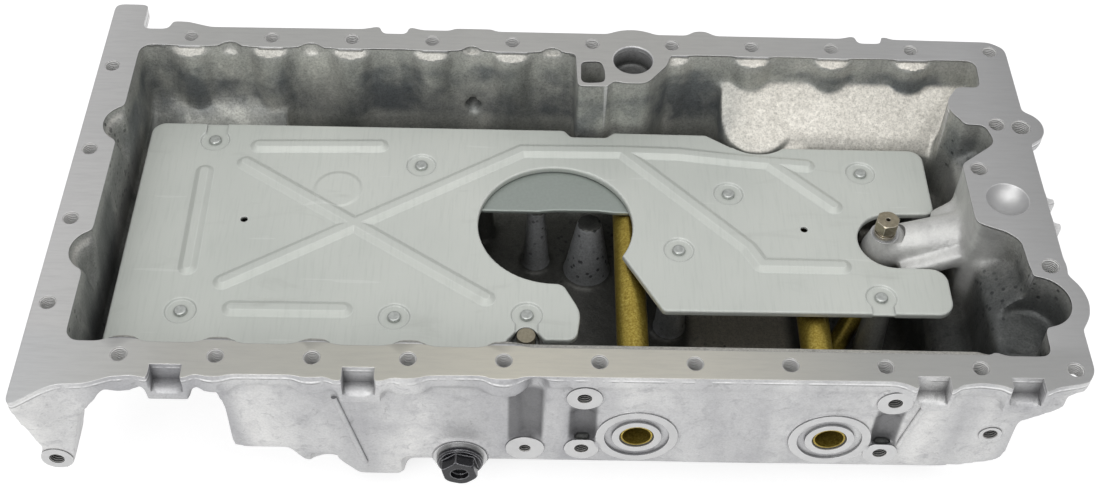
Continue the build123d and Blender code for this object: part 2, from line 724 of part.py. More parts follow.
def seat_necks(bottom, top):
    """Straight runs from the open seats to the edge of the sheet."""
    return [
        block(x - seat_neck / 2, x + seat_neck / 2, min(y, edge), max(y, edge), bottom, top)
        for x, y, edge in open_seats
    ]


def baffle_outline():
    x, y, r = window
    outline = rounded([
        (baffle_left, baffle_back, 8), (-15, baffle_back, 3), (-11, 74.2, 3), (9, 74.2, 3), (13.5, 78, 2),
        (66, 77.6, 4), (80, 68.2, 0), (baffle_right, 68.2, 8), (baffle_right, 19.2, 5), (162.8, 18.6, 0),
        (162.8, -19.6, 0), (baffle_right, -20.2, 9), (baffle_right, -51.6, 9), (36.2, -52.2, 3), (12, -7.5, 0),
        (x, y, 0), (x, y - r, 0), (x + 3.8, y - r, 6), (-6.8, -53.5, 18), (-9.2, -72.4, 6), (-25.5, -72.4, 2),
        (plug_place[0], -60.0, 5.6), (-44.5, -72.4, 2), (-52, baffle_front, 4), (baffle_left, baffle_front, 8),
    ])
    outline -= Pos(x, y) * Circle(r)
    outline -= Pos(162.8, -0.5) * Circle(19.1)
    outline -= Pos(nose[0], nose[1]) * Circle(nose[2] + 2.5)
    return outline


def folded_sheet(outline, top, thickness, lip):
    """Flat sheet with its whole edge turned down."""
    plate = Pos(0, 0, top) * extrude(outline, -lip)
    plate = fillet(plate.edges().group_by(Axis.Z)[-1], thickness * 0.7)
    inside = Pos(0, 0, top - thickness) * extrude(offset(outline, -thickness), -lip)
    return plate - inside


def make_baffle():
    plate = folded_sheet(baffle_outline(), baffle_top, sheet, lip_height)
    seat_under = baffle_top - sheet - seat_depth
    plate -= seat_necks(seat_under - 5, seat_under)
    footprint = extrude(baffle_outline(), -floor_depth)
    plate += [neck & footprint for neck in seat_necks(seat_under, baffle_top - sheet)]
    for x, y in screw_places:
        plate += upright(x, y, baffle_top - sheet, seat_under, seat_r + 1.2) & footprint
    plate += beads(baffle_top)
    plate -= beads(baffle_top - sheet)
    plate -= screw_recesses(baffle_top)
    for x, y in screw_places:
        plate -= upright(x, y, baffle_top + 1, baffle_top - 5, screw_r + screw_clearance)
    for x, y in small_holes:
        plate -= upright(x, y, baffle_top + 1, baffle_top - 5, small_hole_r)
    return plate


def domed_screw(x, y, seat, head_r, head_height, r, length):
    head = upright(x, y, seat + head_height, seat, head_r)
    head = fillet(head.edges().group_by(Axis.Z)[-1], head_height * 0.6)
    return head + upright(x, y, seat, seat - length, r)


def make_baffle_screws():
    seat = baffle_top - seat_depth
    return Compound(children=[
        domed_screw(x, y, seat, screw_head_r, screw_head_height, screw_r, screw_length) for x, y in screw_places
    ])


# Lower baffle
def make_lower_baffle():
    x0, x1 = lower_x
    y0, y1 = lower_y
    bump_x, bump_half, bump = lower_bump
    outline = rounded([
        (x0, y0, lower_corner_r), (bump_x - bump_half, y0, 3), (bump_x - bump_half + 9, y0 + bump, 20),
        (bump_x + bump_half - 9, y0 + bump, 20), (bump_x + bump_half, y0, 3), (x1, y0, lower_corner_r),
        (x1, y1, lower_corner_r), (x0, y1, lower_corner_r),
    ])
    plate = folded_sheet(outline, lower_top, lower_sheet, lower_lip)
    for x, y in lower_screws:
        plate -= upright(x, y, lower_top + 1, lower_top - 5, lower_screw_r + screw_clearance)
    return plate


def make_lower_screws():
    return Compound(children=[
        domed_screw(x, y, lower_top, 3.6, 1.6, lower_screw_r, 10.0) for x, y in lower_screws
    ])


# Oil tubes and ring seals
def make_tube(x, back):
    front = cooler_face + tube_end_inset
    tube = along_y(x, port_z, front, back, tube_r)
    tube = chamfer(tube.edges(), 0.4)
    return tube - along_y(x, port_z, front - 1, back + 1, tube_r - tube_wall)


def ring_seal_along_y(x, y):
    return Plane(origin=(x, y, port_z), z_dir=(0, 1, 0)) * Torus(tube_r + seal_r, seal_r)


# Drain plug and oil union
def hexagon(across_flats, turn=0.0):
    return RegularPolygon(across_flats / 2, 6, major_radius=False, rotation=turn)


def make_drain_plug():
    face = drain_face - drain_washer_thickness
    place = Plane(origin=(drain_x, face, drain_z), z_dir=(0, -1, 0))
    flange = Cylinder(drain_flange_r, drain_flange, align=(Align.CENTER, Align.CENTER, Align.MIN))
    flange = chamfer(flange.edges().group_by(Axis.Z)[-1], 0.8)
    head = extrude(hexagon(drain_hex, 12), drain_flange + drain_hex_height)
    head &= fillet(
        Cylinder(drain_hex * 0.57, drain_flange + drain_hex_height, align=(Align.CENTER, Align.CENTER, Align.MIN))
        .edges().group_by(Axis.Z)[-1], 1.2)
    recess = Pos(0, 0, drain_flange + drain_hex_height - 3) * Cylinder(
        drain_recess_r, 5, align=(Align.CENTER, Align.CENTER, Align.MIN))
    shank = Cylinder(drain_r, drain_length, align=(Align.CENTER, Align.CENTER, Align.MAX))
    return place * (flange + head - recess + chamfer(shank.edges().group_by(Axis.Z)[0], 1.0))


def make_drain_washer():
    front = drain_face - drain_washer_thickness
    washer = along_y(drain_x, drain_z, front, drain_face, drain_washer_r)
    return washer - along_y(drain_x, drain_z, front - 1, drain_face + 1, drain_r + 0.2)


def make_union():
    x, y = arm_tip
    foot = arm_seat + union_washer_thickness
    shoulder = foot + union_neck_height
    top = shoulder + union_hex_height
    body = upright(x, y, shoulder, foot, union_neck_r)
    body += upright(x, y, foot + 1, foot, union_washer_r - 0.8)
    nut = Pos(x, y, shoulder) * extrude(hexagon(union_hex, 8), union_hex_height)
    crown = upright(x, y, top, shoulder, union_hex * 0.57)
    nut &= chamfer(crown.edges().group_by(Axis.Z)[-1], 0.7)
    body += nut + upright(x, y, foot, foot - union_depth, union_r)
    return body - upright(x, y, top + 1, arm_seat - union_depth - 5, union_bore_r)


def make_union_washer():
    x, y = arm_tip
    washer = upright(x, y, arm_seat + union_washer_thickness, arm_seat, union_washer_r)
    return washer - upright(x, y, arm_seat + 3, arm_seat - 3, union_r + 0.1)


# Pickup
cup_bottom = -floor_depth + wall + cup_gap
cup_top = cup_bottom + cup_height


def make_pickup_pipe():
    x, y = arm_tip
    cx, cy = cup_place
    route = FilletPolyline(
        (x, y, pipe_top), (x, y, pipe_level), (cx, cy, pipe_level), (cx, cy, cup_top - cup_wall), radius=pipe_bend
    )
    start = Plane(origin=(x, y, pipe_top), z_dir=(0, 0, -1))
    return sweep(start * Circle(pipe_r) - start * Circle(pipe_r - pipe_wall), path=route)


def make_pickup_cup():
    x, y = cup_place
    cup = upright(x, y, cup_top, cup_bottom, cup_r)
    cup = fillet(cup.edges().group_by(Axis.Z)[-1], 2.4)
    cup -= upright(x, y, cup_top - cup_wall, cup_bottom - 1, cup_r - cup_wall)
    return cup - upright(x, y, cup_top + 1, cup_bottom, pipe_r)


def make_pickup_screen():
    x, y = cup_place
    disc = upright(x, y, cup_bottom + 1 + screen_thickness, cup_bottom + 1, cup_r - cup_wall)
    holes = [Pos(x, y, cup_bottom) * Cylinder(screen_hole_r, 8)]
    for count, ring_r in ((6, 6.4), (12, 13.0)):
        holes += [
            Pos(x, y, cup_bottom) * place * Cylinder(screen_hole_r, 8) for place in PolarLocations(ring_r, count)
        ]
    return disc - holes


def make_pickup_bracket():
    cx, cy = cup_place
    x, y = bracket_screw
    half = bracket_width / 2
    tab = block(cx + pipe_r + 2.5, x, y - half, y + half, cup_top, cup_top + bracket_thickness)
    tab += upright(x, y, cup_top + bracket_thickness, cup_top, half)
    return tab - upright(x, y, cup_top + 9, cup_top - 9, bracket_screw_r + screw_clearance)


def make_pickup_screw():
    x, y = bracket_screw
    seat = cup_top + bracket_thickness
    head = Pos(x, y, seat) * extrude(hexagon(8.0), 3.6)
    return head + upright(x, y, seat, seat - 10, bracket_screw_r)


left_tube_end = left_tube_seat + tube_engagement - tube_end_inset
right_tube_end = right_tube_seat + tube_engagement - tube_end_inset
parts = {
    "pan_casting": make_casting(),
    "baffle_plate": make_baffle(),
    "baffle_screws": make_baffle_screws(),
    "lower_baffle": make_lower_baffle(),
    "lower_baffle_screws": make_lower_screws(),
    "baffle_plug": upright(plug_place[0], plug_place[1], plug_top, plug_top - plug_length, plug_r),
    "cooler_tube_left": make_tube(left_tube_x, left_tube_end),
    "cooler_tube_right": make_tube(right_tube_x, right_tube_end),
    "left_tube_front_seal": ring_seal_along_y(left_tube_x, front_seal_y),
    "left_tube_rear_seal": ring_seal_along_y(left_tube_x, left_tube_seat + 7),
    "right_tube_front_seal": ring_seal_along_y(right_tube_x, front_seal_y),
    "right_tube_rear_seal": ring_seal_along_y(right_tube_x, right_tube_seat + 7),
    "drain_plug": make_drain_plug(),
    "drain_plug_washer": make_drain_washer(),
    "oil_union": make_union(),
    "oil_union_washer": make_union_washer(),
    "pickup_pipe": make_pickup_pipe(),
    "pickup_pipe_seal": Pos(arm_tip[0], arm_tip[1], pipe_seal_z) * Torus(pipe_r + seal_r, seal_r),
    "pickup_cup": make_pickup_cup(),
    "pickup_screen": make_pickup_screen(),
    "pickup_bracket": make_pickup_bracket(),
    "pickup_screw": make_pickup_screw(),
}

os.makedirs("parts", exist_ok=True)
for name, shape in parts.items():
    export_step(shape, f"parts/{name}.step")
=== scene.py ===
import bmesh
import bpy
from math import copysign, cos, radians, sin, tau
from mathutils import Matrix, Vector
from mathutils.bvhtree import BVHTree


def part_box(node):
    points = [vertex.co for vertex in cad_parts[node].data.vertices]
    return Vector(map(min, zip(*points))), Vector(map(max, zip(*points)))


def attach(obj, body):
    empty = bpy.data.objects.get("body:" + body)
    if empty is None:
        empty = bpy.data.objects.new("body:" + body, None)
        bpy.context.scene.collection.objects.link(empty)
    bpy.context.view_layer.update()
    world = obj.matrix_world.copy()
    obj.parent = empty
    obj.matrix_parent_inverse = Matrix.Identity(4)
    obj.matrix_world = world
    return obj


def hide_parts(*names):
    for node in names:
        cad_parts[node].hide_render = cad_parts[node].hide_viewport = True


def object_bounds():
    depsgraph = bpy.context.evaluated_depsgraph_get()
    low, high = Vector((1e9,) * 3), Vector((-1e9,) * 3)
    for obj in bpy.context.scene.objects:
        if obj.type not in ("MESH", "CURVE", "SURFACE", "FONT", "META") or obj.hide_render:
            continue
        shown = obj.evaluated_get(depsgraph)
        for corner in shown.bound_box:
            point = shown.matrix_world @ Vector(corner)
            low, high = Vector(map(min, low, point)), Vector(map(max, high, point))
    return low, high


# Looks of the engine oil pan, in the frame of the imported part: X along the engine,
# Y across it with the cooler flange on -Y, Z up, rail face at Z = 0.
# Lengths are millimetres, except those of the camera, the lights, the floor and the frame, which are metres.

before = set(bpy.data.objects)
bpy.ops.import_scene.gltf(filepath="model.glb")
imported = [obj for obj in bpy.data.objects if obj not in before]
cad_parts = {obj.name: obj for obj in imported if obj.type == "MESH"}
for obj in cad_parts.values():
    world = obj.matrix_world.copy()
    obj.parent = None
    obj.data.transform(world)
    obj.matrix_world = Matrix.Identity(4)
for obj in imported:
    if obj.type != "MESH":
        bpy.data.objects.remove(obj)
cad_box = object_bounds()
MM = 0.001

# Sockets of a mix node that mixes colours
MIX_FACTOR, MIX_A, MIX_B, MIX_RESULT = 0, 6, 7, 2

# Camera, solved from the rail bolt holes
CAMERA_PLACE = Vector((-0.0380, -0.5619, 0.5971))
CAMERA_AZIMUTH = radians(-1.558)
CAMERA_ELEVATION = radians(48.783)
CAMERA_ROLL = radians(2.203)
CAMERA_LENS = 51.378
SENSOR_WIDTH = 36.0
CLIP_START = 0.01

# Room: colours from the horizon up, its strength, and its white as the camera sees it
HORIZON = (0.52, 0.52, 0.53, 1)
HALF_WAY = (0.66, 0.66, 0.67, 1)
OVERHEAD = (1.0, 1.0, 0.99, 1)
HALF_WAY_HEIGHT, OVERHEAD_HEIGHT = 0.62, 0.95
ROOM_STRENGTH = 0.8
ROOM_WHITE = (1.25, 1.25, 1.25, 1)

# Floor: side, gap under the part, tone, and share of white that it shows besides the light it scatters
FLOOR_SIZE = 6
FLOOR_GAP = 0.0002
FLOOR_TONE = (0.4, 0.4, 0.4, 1)
FLOOR_GLOW = 0.78


def middle(node):
    """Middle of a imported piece, to a tenth of a millimetre."""
    low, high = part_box(node)
    return [round(value, 1) for value in (low + high) / 2 / MM]


# Directions out of the metal
UP = (0, 0, 1)
FRONT = (0, -1, 0)

# Rail bolts: places, radius, and depth of the drill in the rail and in the columns of the front wall
BOLT_PITCH = 45.5
BOLT_X = [BOLT_PITCH * (i - 5) for i in range(11)]
ROW_Y = 113.0
BOLT_R = 3.7
RAIL_DRILL = 9.6
COLUMN_DRILL = 70.0
LEFT_ROW_X = -267.3
LEFT_ROW_Y = (-82.4, -27.2, 22.2, 87.0)
LEFT_DRILL = 21.0

# Machined faces of the front wall and of the arm
FLANGE_Y = -121.0
WALL_PAD_Y = -120.0
PORTS = [(x, FLANGE_Y, z) for x, _, z in (middle("cooler_tube_left"), middle("cooler_tube_right"))]
BOSSES = [(x, FLANGE_Y, z) for x in (-6.4, 143.6) for z in (-19.0, -61.5)]
LONE_BOSS = (-34.7, WALL_PAD_Y, -63.5)
END_BOSS = (195.8, WALL_PAD_Y, -45.0)
PLUG_X, _, PLUG_Z = middle("drain_plug")
PLUG_BOSS = (PLUG_X, WALL_PAD_Y, PLUG_Z)
LEG_FOOT = (-265.6, -131.5, -62.0)
UNION_X, UNION_Y, _ = middle("oil_union")
ARM_TIP = (UNION_X, UNION_Y, round(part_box("oil_union_washer")[0].z / MM, 1))

# Pockets in the rail face
PAD_POCKET = (216.0, -2.3, 0)
PAD_POCKET_R, PAD_POCKET_FLOOR = 11.9, -8.8
ROUND_POCKET = (22.9, 100.1, 0)

# Drilled holes: mouth, direction out of the metal, radius, depth
HOLES = [((x, ROW_Y, 0), UP, BOLT_R, RAIL_DRILL) for x in BOLT_X]
HOLES += [((x, -ROW_Y, 0), UP, BOLT_R, RAIL_DRILL if x == BOLT_X[0] else COLUMN_DRILL) for x in BOLT_X]
HOLES += [((LEFT_ROW_X, y, 0), UP, BOLT_R, LEFT_DRILL) for y in LEFT_ROW_Y]
HOLES += [((220.6, 53.8, 0), UP, 4.2, 21), ((233.5, 51.9, 0), UP, 4.9, 24)]
HOLES += [((204.7, 19.7, 0), UP, 4.2, 22), ((228.9, -47.9, 0), UP, 4.3, 23)]
HOLES += [(ROUND_POCKET, UP, 11.2, 12.0)]
HOLES += [(mouth, FRONT, 8.35, 20.0) for mouth in PORTS]
HOLES += [(mouth, FRONT, 3.2, 15.0) for mouth in BOSSES]
HOLES += [(LONE_BOSS, FRONT, 2.6, 13.0), (END_BOSS, FRONT, 3.3, 12.0)]
HOLES += [(PLUG_BOSS, FRONT, 7.0, 30.0), (LEG_FOOT, FRONT, 3.4, 19.0)]
HOLE_CHAMFER = 0.45

# Machined pads: centre of the face, direction out of the metal, radius
PADS = [(mouth, FRONT, 20.4) for mouth in PORTS]
PADS += [(mouth, FRONT, 8.6) for mouth in BOSSES]
PADS += [(LONE_BOSS, FRONT, 9.6), (END_BOSS, FRONT, 5.6), (PLUG_BOSS, FRONT, 13.6), (LEG_FOOT, FRONT, 8.0)]
PADS += [(ARM_TIP, UP, 7.6)]

# Groove of each port: inner radius, outer radius, depth
PORT_GROOVE = (12.2, 16.2, 1.3)
# Half section of the dish over the pad pocket: distance out of the face, radius
DISH_R = 11.4
DISH = [(-5.0, 0), (-4.8, 2.5), (-4.2, 5), (-3.2, 7.4), (-1.8, 9.5), (-0.4, 10.9)]
DISH += [(0.02, DISH_R), (1, DISH_R), (1, 0)]
# Lug pockets of the front edge: middles, half width, far side, floor, and how far they reach out and up
LUG_X = (-204.5, -114.0, 158.7, 203.5)
LUG_HALF, LUG_BACK, LUG_FLOOR = 7.6, -118.5, -11.5
LUG_REACH, LUG_OPEN = 20, 5
# Crests in front of the baffle, round the first five bolts
CREST_X = BOLT_X[:5]
CREST_R, CREST_TOP, CREST_BOTTOM = 13.4, -0.8, -13.0
# Bars that close a slit of the solid where the floor meets the ramp: ends, radius
FLOOR_FILL = [((x, 69.0, -103.2), (x, 70.5, -88.0)) for x in (81.2, 82.8)]
FLOOR_FILL_R = 1.8
# Flash lines down the front wall: ends, radius
SEAMS = [((-127, -120.6, -21), (-115.5, -119.0, -80)), ((158, -120.6, -22), (150, -119.2, -68))]
SEAM_R = 1.4
# Upright channels between the front bosses, where shade is painted: middle, bottom, top, half width
SHADED_CHANNELS = [(-6.4, -54, -29, 5.8), (143.6, -54, -29, 5.8), (-34.7, -54, -18, 7.5)]
THREAD_PITCH = 1.25
# Faint round stamp of the baffle: middle, radius, width of its slope
BAFFLE_STAMP = (-139.7, 30.0)
STAMP_R, STAMP_SLOPE = 14.0, 2.5

# Softening of the cast edges
VOXEL = 1.6
SMOOTHING = 7
SMOOTH_FACTOR = 0.5
CAST_TRIANGLES = 150000
SHARP_ANGLE = radians(32)
# Metal added over the rail and the pads before the softening, and how deep the pads' part is rooted
RAIL_SPARE, PAD_SPARE, PAD_ROOT = 4, 3, 1
# Cut that takes the pads' part away again: margin round the pad, height
CUT_MARGIN, CUT_HEIGHT = 3, 7
# Sunk rim round each pad: depth, width of its floor, width and height of its outer edge
RIM_DEPTH, RIM_FLOOR, RIM_WIDTH, RIM_HEIGHT = 0.5, 0.4, 1.8, 0.3
# Everything above the rail face
ABOVE_RAIL = ((-400, -300, 0), (400, 300, 12))
# How far a cutter stands out of its face, how far a chamfer starts above it, and corners of a turned ring
OVER, SKIM = 1, 0.02
TURN_STEPS = 48
# Tolerances: of corners that are one, of a place on a face, round a pad, round the dish, and along a hole
WELD, ON_FACE, ROUND_PAD, ROUND_DISH, ALONG_HOLE = 0.001, 0.01, 0.05, 0.2, 0.1
FACES_UP = 0.999
# How far off a corner the rays start that look for walls, and how deep the inside begins
RAY_START, INSIDE_TOP = 0.6, -0.3


def make_camera():
    data = bpy.data.cameras.new("camera")
    data.sensor_width = SENSOR_WIDTH
    data.lens = CAMERA_LENS
    data.clip_start = CLIP_START
    camera = bpy.data.objects.new("camera", data)
    bpy.context.scene.collection.objects.link(camera)
    az, el, roll = CAMERA_AZIMUTH, CAMERA_ELEVATION, CAMERA_ROLL
    forward = Vector((-sin(az) * cos(el), cos(az) * cos(el), -sin(el)))
    right = Vector((cos(az), sin(az), 0))
    up = right.cross(forward)
    right, up = cos(roll) * right + sin(roll) * up, cos(roll) * up - sin(roll) * right
    turn = Matrix((right, up, -forward)).transposed().to_4x4()
    camera.matrix_world = Matrix.Translation(CAMERA_PLACE) @ turn
    bpy.context.scene.camera = camera


def make_area(name, place, target, size, power):
    data = bpy.data.lights.new(name, "AREA")
    data.shape = "RECTANGLE"
    data.size, data.size_y = size
    data.energy = power
    lamp = bpy.data.objects.new(name, data)
    bpy.context.scene.collection.objects.link(lamp)
    turn = (Vector(target) - Vector(place)).to_track_quat("-Z", "Y").to_matrix().to_4x4()
    lamp.matrix_world = Matrix.Translation(place) @ turn


def make_room():
    """A room that is dimmer at the horizon than overhead, and white to the camera."""
    world = bpy.data.worlds.new("room")
    world.use_nodes = True
    tree = world.node_tree
    background = tree.nodes["Background"]
    direction = tree.nodes.new("ShaderNodeTexCoord").outputs["Generated"]
    split = tree.nodes.new("ShaderNodeSeparateXYZ")
    height = tree.nodes.new("ShaderNodeValToRGB")
    elements = height.color_ramp.elements
    elements[0].position, elements[0].color = 0.0, HORIZON
    elements[1].position, elements[1].color = OVERHEAD_HEIGHT, OVERHEAD
    elements.new(HALF_WAY_HEIGHT).color = HALF_WAY
    white = tree.nodes.new("ShaderNodeMix")
    white.data_type = "RGBA"
    white.inputs[MIX_B].default_value = ROOM_WHITE
    path = tree.nodes.new("ShaderNodeLightPath")
    tree.links.new(direction, split.inputs[0])
    tree.links.new(split.outputs["Z"], height.inputs[0])
    tree.links.new(path.outputs["Is Camera Ray"], white.inputs[MIX_FACTOR])
    tree.links.new(height.outputs[0], white.inputs[MIX_A])
    tree.links.new(white.outputs[MIX_RESULT], background.inputs["Color"])
    background.inputs["Strength"].default_value = ROOM_STRENGTH
    bpy.context.scene.world = world


def make_light():
    """The room, one large soft light overhead and one in front."""
    make_room()
    make_area("top_light", place=(0.05, -0.2, 1.3), target=(0, 0, 0), size=(1.6, 1.1), power=6)
    make_area("front_light", place=(-0.5, -1.1, 0.9), target=(0, 0, -0.05), size=(0.8, 0.5), power=5)
    bpy.context.scene.view_settings.view_transform = "Standard"


def make_floor():
    """A floor that glows white to the camera and in reflections, so that only its shadows show."""
    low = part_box("pan_casting")[0].z
    bpy.ops.mesh.primitive_plane_add(size=FLOOR_SIZE, location=(0, 0, low - FLOOR_GAP))
    floor = bpy.context.object
    floor.name = "floor"
    material = bpy.data.materials.new("floor_white")
    material.use_nodes = True
    shader = material.node_tree.nodes["Principled BSDF"]
    shader.inputs["Base Color"].default_value = FLOOR_TONE
    shader.inputs["Roughness"].default_value = 0.9
    shader.inputs["Specular IOR Level"].default_value = 0.0
    shader.inputs["Emission Color"].default_value = (1, 1, 1, 1)
    tree = material.node_tree
    path = tree.nodes.new("ShaderNodeLightPath")
    seen = path.outputs["Is Camera Ray"]
    for ray in ("Is Glossy Ray", "Is Transmission Ray"):
        either = tree.nodes.new("ShaderNodeMath")
        either.operation = "MAXIMUM"
        tree.links.new(seen, either.inputs[0])
        tree.links.new(path.outputs[ray], either.inputs[1])
        seen = either.outputs[0]
    glow = tree.nodes.new("ShaderNodeMath")
    glow.operation = "MULTIPLY"
    glow.inputs[1].default_value = FLOOR_GLOW
    tree.links.new(seen, glow.inputs[0])
    tree.links.new(glow.outputs[0], shader.inputs["Emission Strength"])
    floor.data.materials.append(material)


# Meshes
def add_object(name, mesh):
    piece = bpy.data.objects.new(name, mesh)
    bpy.context.scene.collection.objects.link(piece)
    return piece


def rod(low, high, r):
    """Half section of a rod between two distances out of its mouth."""
    return [(low, 0), (low, r), (high, r), (high, 0)]


def join_ends(start, end, r):
    """A round bar from one point to another, for cutter()."""
    axis = Vector(end) - Vector(start)
    return start, axis.normalized(), rod(0, axis.length, r)


def turned(bm, mouth, out, profile):
    """Solid of revolution. The profile lists (distance out of the mouth, radius) round the section."""
    axis = Vector(out)
    side = axis.orthogonal().normalized()
    other = axis.cross(side)
    rings = []
    for reach, r in profile:
        centre = Vector(mouth) + axis * reach
        if r == 0:
            rings.append([bm.verts.new(centre * MM)])
            continue
        ring = []
        for k in range(TURN_STEPS):
            turn = tau * k / TURN_STEPS
            ring.append(bm.verts.new((centre + side * (r * cos(turn)) + other * (r * sin(turn))) * MM))
        rings.append(ring)
    pairs = list(zip(rings, rings[1:]))
    if len(rings[0]) > 1:
        pairs.append((rings[-1], rings[0]))
    for a, b in pairs:
        for k in range(TURN_STEPS):
            corners = [a[k % len(a)], a[(k + 1) % len(a)], b[(k + 1) % len(b)], b[k % len(b)]]
            bm.faces.new(list(dict.fromkeys(corners)))


def cutter(name, solids):
    """One object of several turned solids that don't touch."""
    bm = bmesh.new()
    for mouth, out, profile in solids:
        turned(bm, mouth, out, profile)
    bmesh.ops.recalc_face_normals(bm, faces=bm.faces)
    mesh = bpy.data.meshes.new(name)
    bm.to_mesh(mesh)
    bm.free()
    return add_object(name, mesh)


def box_cutter(name, low, high):
    bm = bmesh.new()
    bmesh.ops.create_cube(bm, size=1)
    for vertex in bm.verts:
        vertex.co = Vector([(l + h) / 2 + (h - l) * c for l, h, c in zip(low, high, vertex.co)]) * MM
    mesh = bpy.data.meshes.new(name)
    bm.to_mesh(mesh)
    bm.free()
    return add_object(name, mesh)


def settle(piece):
    """Apply the modifiers of a piece."""
    graph = bpy.context.evaluated_depsgraph_get()
    mesh = bpy.data.meshes.new_from_object(piece.evaluated_get(graph))
    piece.modifiers.clear()
    piece.data = mesh


def carve(piece, tool, operation="DIFFERENCE"):
    modifier = piece.modifiers.new("carve", "BOOLEAN")
    modifier.object = tool
    modifier.operation = operation
    modifier.solver = "MANIFOLD"
    settle(piece)
    bpy.data.objects.remove(tool)


def raise_rail(mesh, height):
    """Lift the rail face, so that smoothing leaves its edge alone until it is cut back."""
    bm = bmesh.new()
    bm.from_mesh(mesh)
    bmesh.ops.remove_doubles(bm, verts=bm.verts, dist=WELD * MM)
    top = [f for f in bm.faces if f.normal.z > FACES_UP and abs(f.calc_center_median().z) < ON_FACE * MM]
    grown = bmesh.ops.extrude_face_region(bm, geom=top)
    lifted = [v for v in grown["geom"] if isinstance(v, bmesh.types.BMVert)]
    bmesh.ops.translate(bm, verts=lifted, vec=(0, 0, height * MM))
    left = [f for f in top if f.is_valid]
    if left:
        bmesh.ops.delete(bm, geom=left, context="FACES")
    bm.to_mesh(mesh)
    bm.free()


def fill_casting(piece):
    """Fill what is cut again after the softening, enlarge the first crests and close the slit."""
    pocket = (PAD_POCKET, UP, rod(PAD_POCKET_FLOOR, PAD_SPARE, PAD_POCKET_R))
    carve(piece, cutter("fill", [pocket]), "UNION")
    for x in CREST_X:
        crest = ((x, -ROW_Y, 0), UP, rod(CREST_BOTTOM, CREST_TOP, CREST_R))
        carve(piece, cutter("crest", [crest]), "UNION")
    for mouth, out, r in PADS:
        carve(piece, cutter("pad", [(mouth, out, rod(-PAD_ROOT, PAD_SPARE, r))]), "UNION")
    for start, end in FLOOR_FILL:
        carve(piece, cutter("floor_fill", [join_ends(start, end, FLOOR_FILL_R)]), "UNION")


def soften(piece):
    """Round all edges a little, as on a casting, within the budget of triangles."""
    remesh = piece.modifiers.new("remesh", "REMESH")
    remesh.mode = "VOXEL"
    remesh.voxel_size = VOXEL * MM
    smooth = piece.modifiers.new("smooth", "SMOOTH")
    smooth.factor = SMOOTH_FACTOR
    smooth.iterations = SMOOTHING
    settle(piece)
    count = sum(len(p.vertices) - 2 for p in piece.data.polygons)
    decimate = piece.modifiers.new("decimate", "DECIMATE")
    decimate.ratio = min(1.0, CAST_TRIANGLES / count)
    settle(piece)


def machine_casting(piece):
    """Cut the rail, the lug pockets, the pads, the holes and the port grooves sharp."""
    carve(piece, box_cutter("above", *ABOVE_RAIL))
    for x in LUG_X:
        low = (x - LUG_HALF, LUG_BACK - LUG_REACH, LUG_FLOOR)
        high = (x + LUG_HALF, LUG_BACK, LUG_OPEN)
        carve(piece, box_cutter("lug", low, high))
    for start, end in SEAMS:
        carve(piece, cutter("seam", [join_ends(start, end, SEAM_R)]), "UNION")
    for mouth, out, r in PADS:
        carve(piece, cutter("spare", [(mouth, out, rod(0, CUT_HEIGHT, r + CUT_MARGIN))]))
    for mouth, out, r in PADS:
        floor, edge = r + RIM_FLOOR, r + RIM_WIDTH
        rim = [(OVER, r), (-RIM_DEPTH, r), (-RIM_DEPTH, floor), (RIM_HEIGHT, edge), (OVER, edge)]
        carve(piece, cutter("rim", [(mouth, out, rim)]))
    drills = []
    for mouth, out, r, depth in HOLES:
        wide = r + HOLE_CHAMFER
        drill = [(-depth, 0), (-depth, r), (-HOLE_CHAMFER, r), (SKIM, wide), (OVER, wide), (OVER, 0)]
        drills.append((mouth, out, drill))
    drills.append((PAD_POCKET, UP, DISH))
    carve(piece, cutter("drills", drills))
    inner, outer, depth = PORT_GROOVE
    groove = [(OVER, inner), (-depth, inner), (-depth, outer), (OVER, outer)]
    carve(piece, cutter("grooves", [(mouth, FRONT, groove) for mouth in PORTS]))


def make_cast_body():
    """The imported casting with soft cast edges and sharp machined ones, kept inside the box of the part."""
    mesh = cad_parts["pan_casting"].data.copy()
    mesh.materials.clear()
    raise_rail(mesh, RAIL_SPARE)
    piece = add_object("cast_body", mesh)
    fill_casting(piece)
    soften(piece)
    machine_casting(piece)
    low, high = cad_box
    for vertex in piece.data.vertices:
        vertex.co = [min(max(c, l), h) for c, l, h in zip(vertex.co, low, high)]
    return piece


# Materials
# Cosine between the rounded and the true normal, on a worn edge and beside it
ON_EDGE, BESIDE_EDGE = 0.9, 0.995
# Lean of the upright bands of painted light and shade, and of the swell, on the outer walls
LEAN = (0, 0.12, 0)
# White of the painted highlights on milled edges and on the flash under the rail
HIGHLIGHT_WHITE = (0.95, 0.95, 0.95)


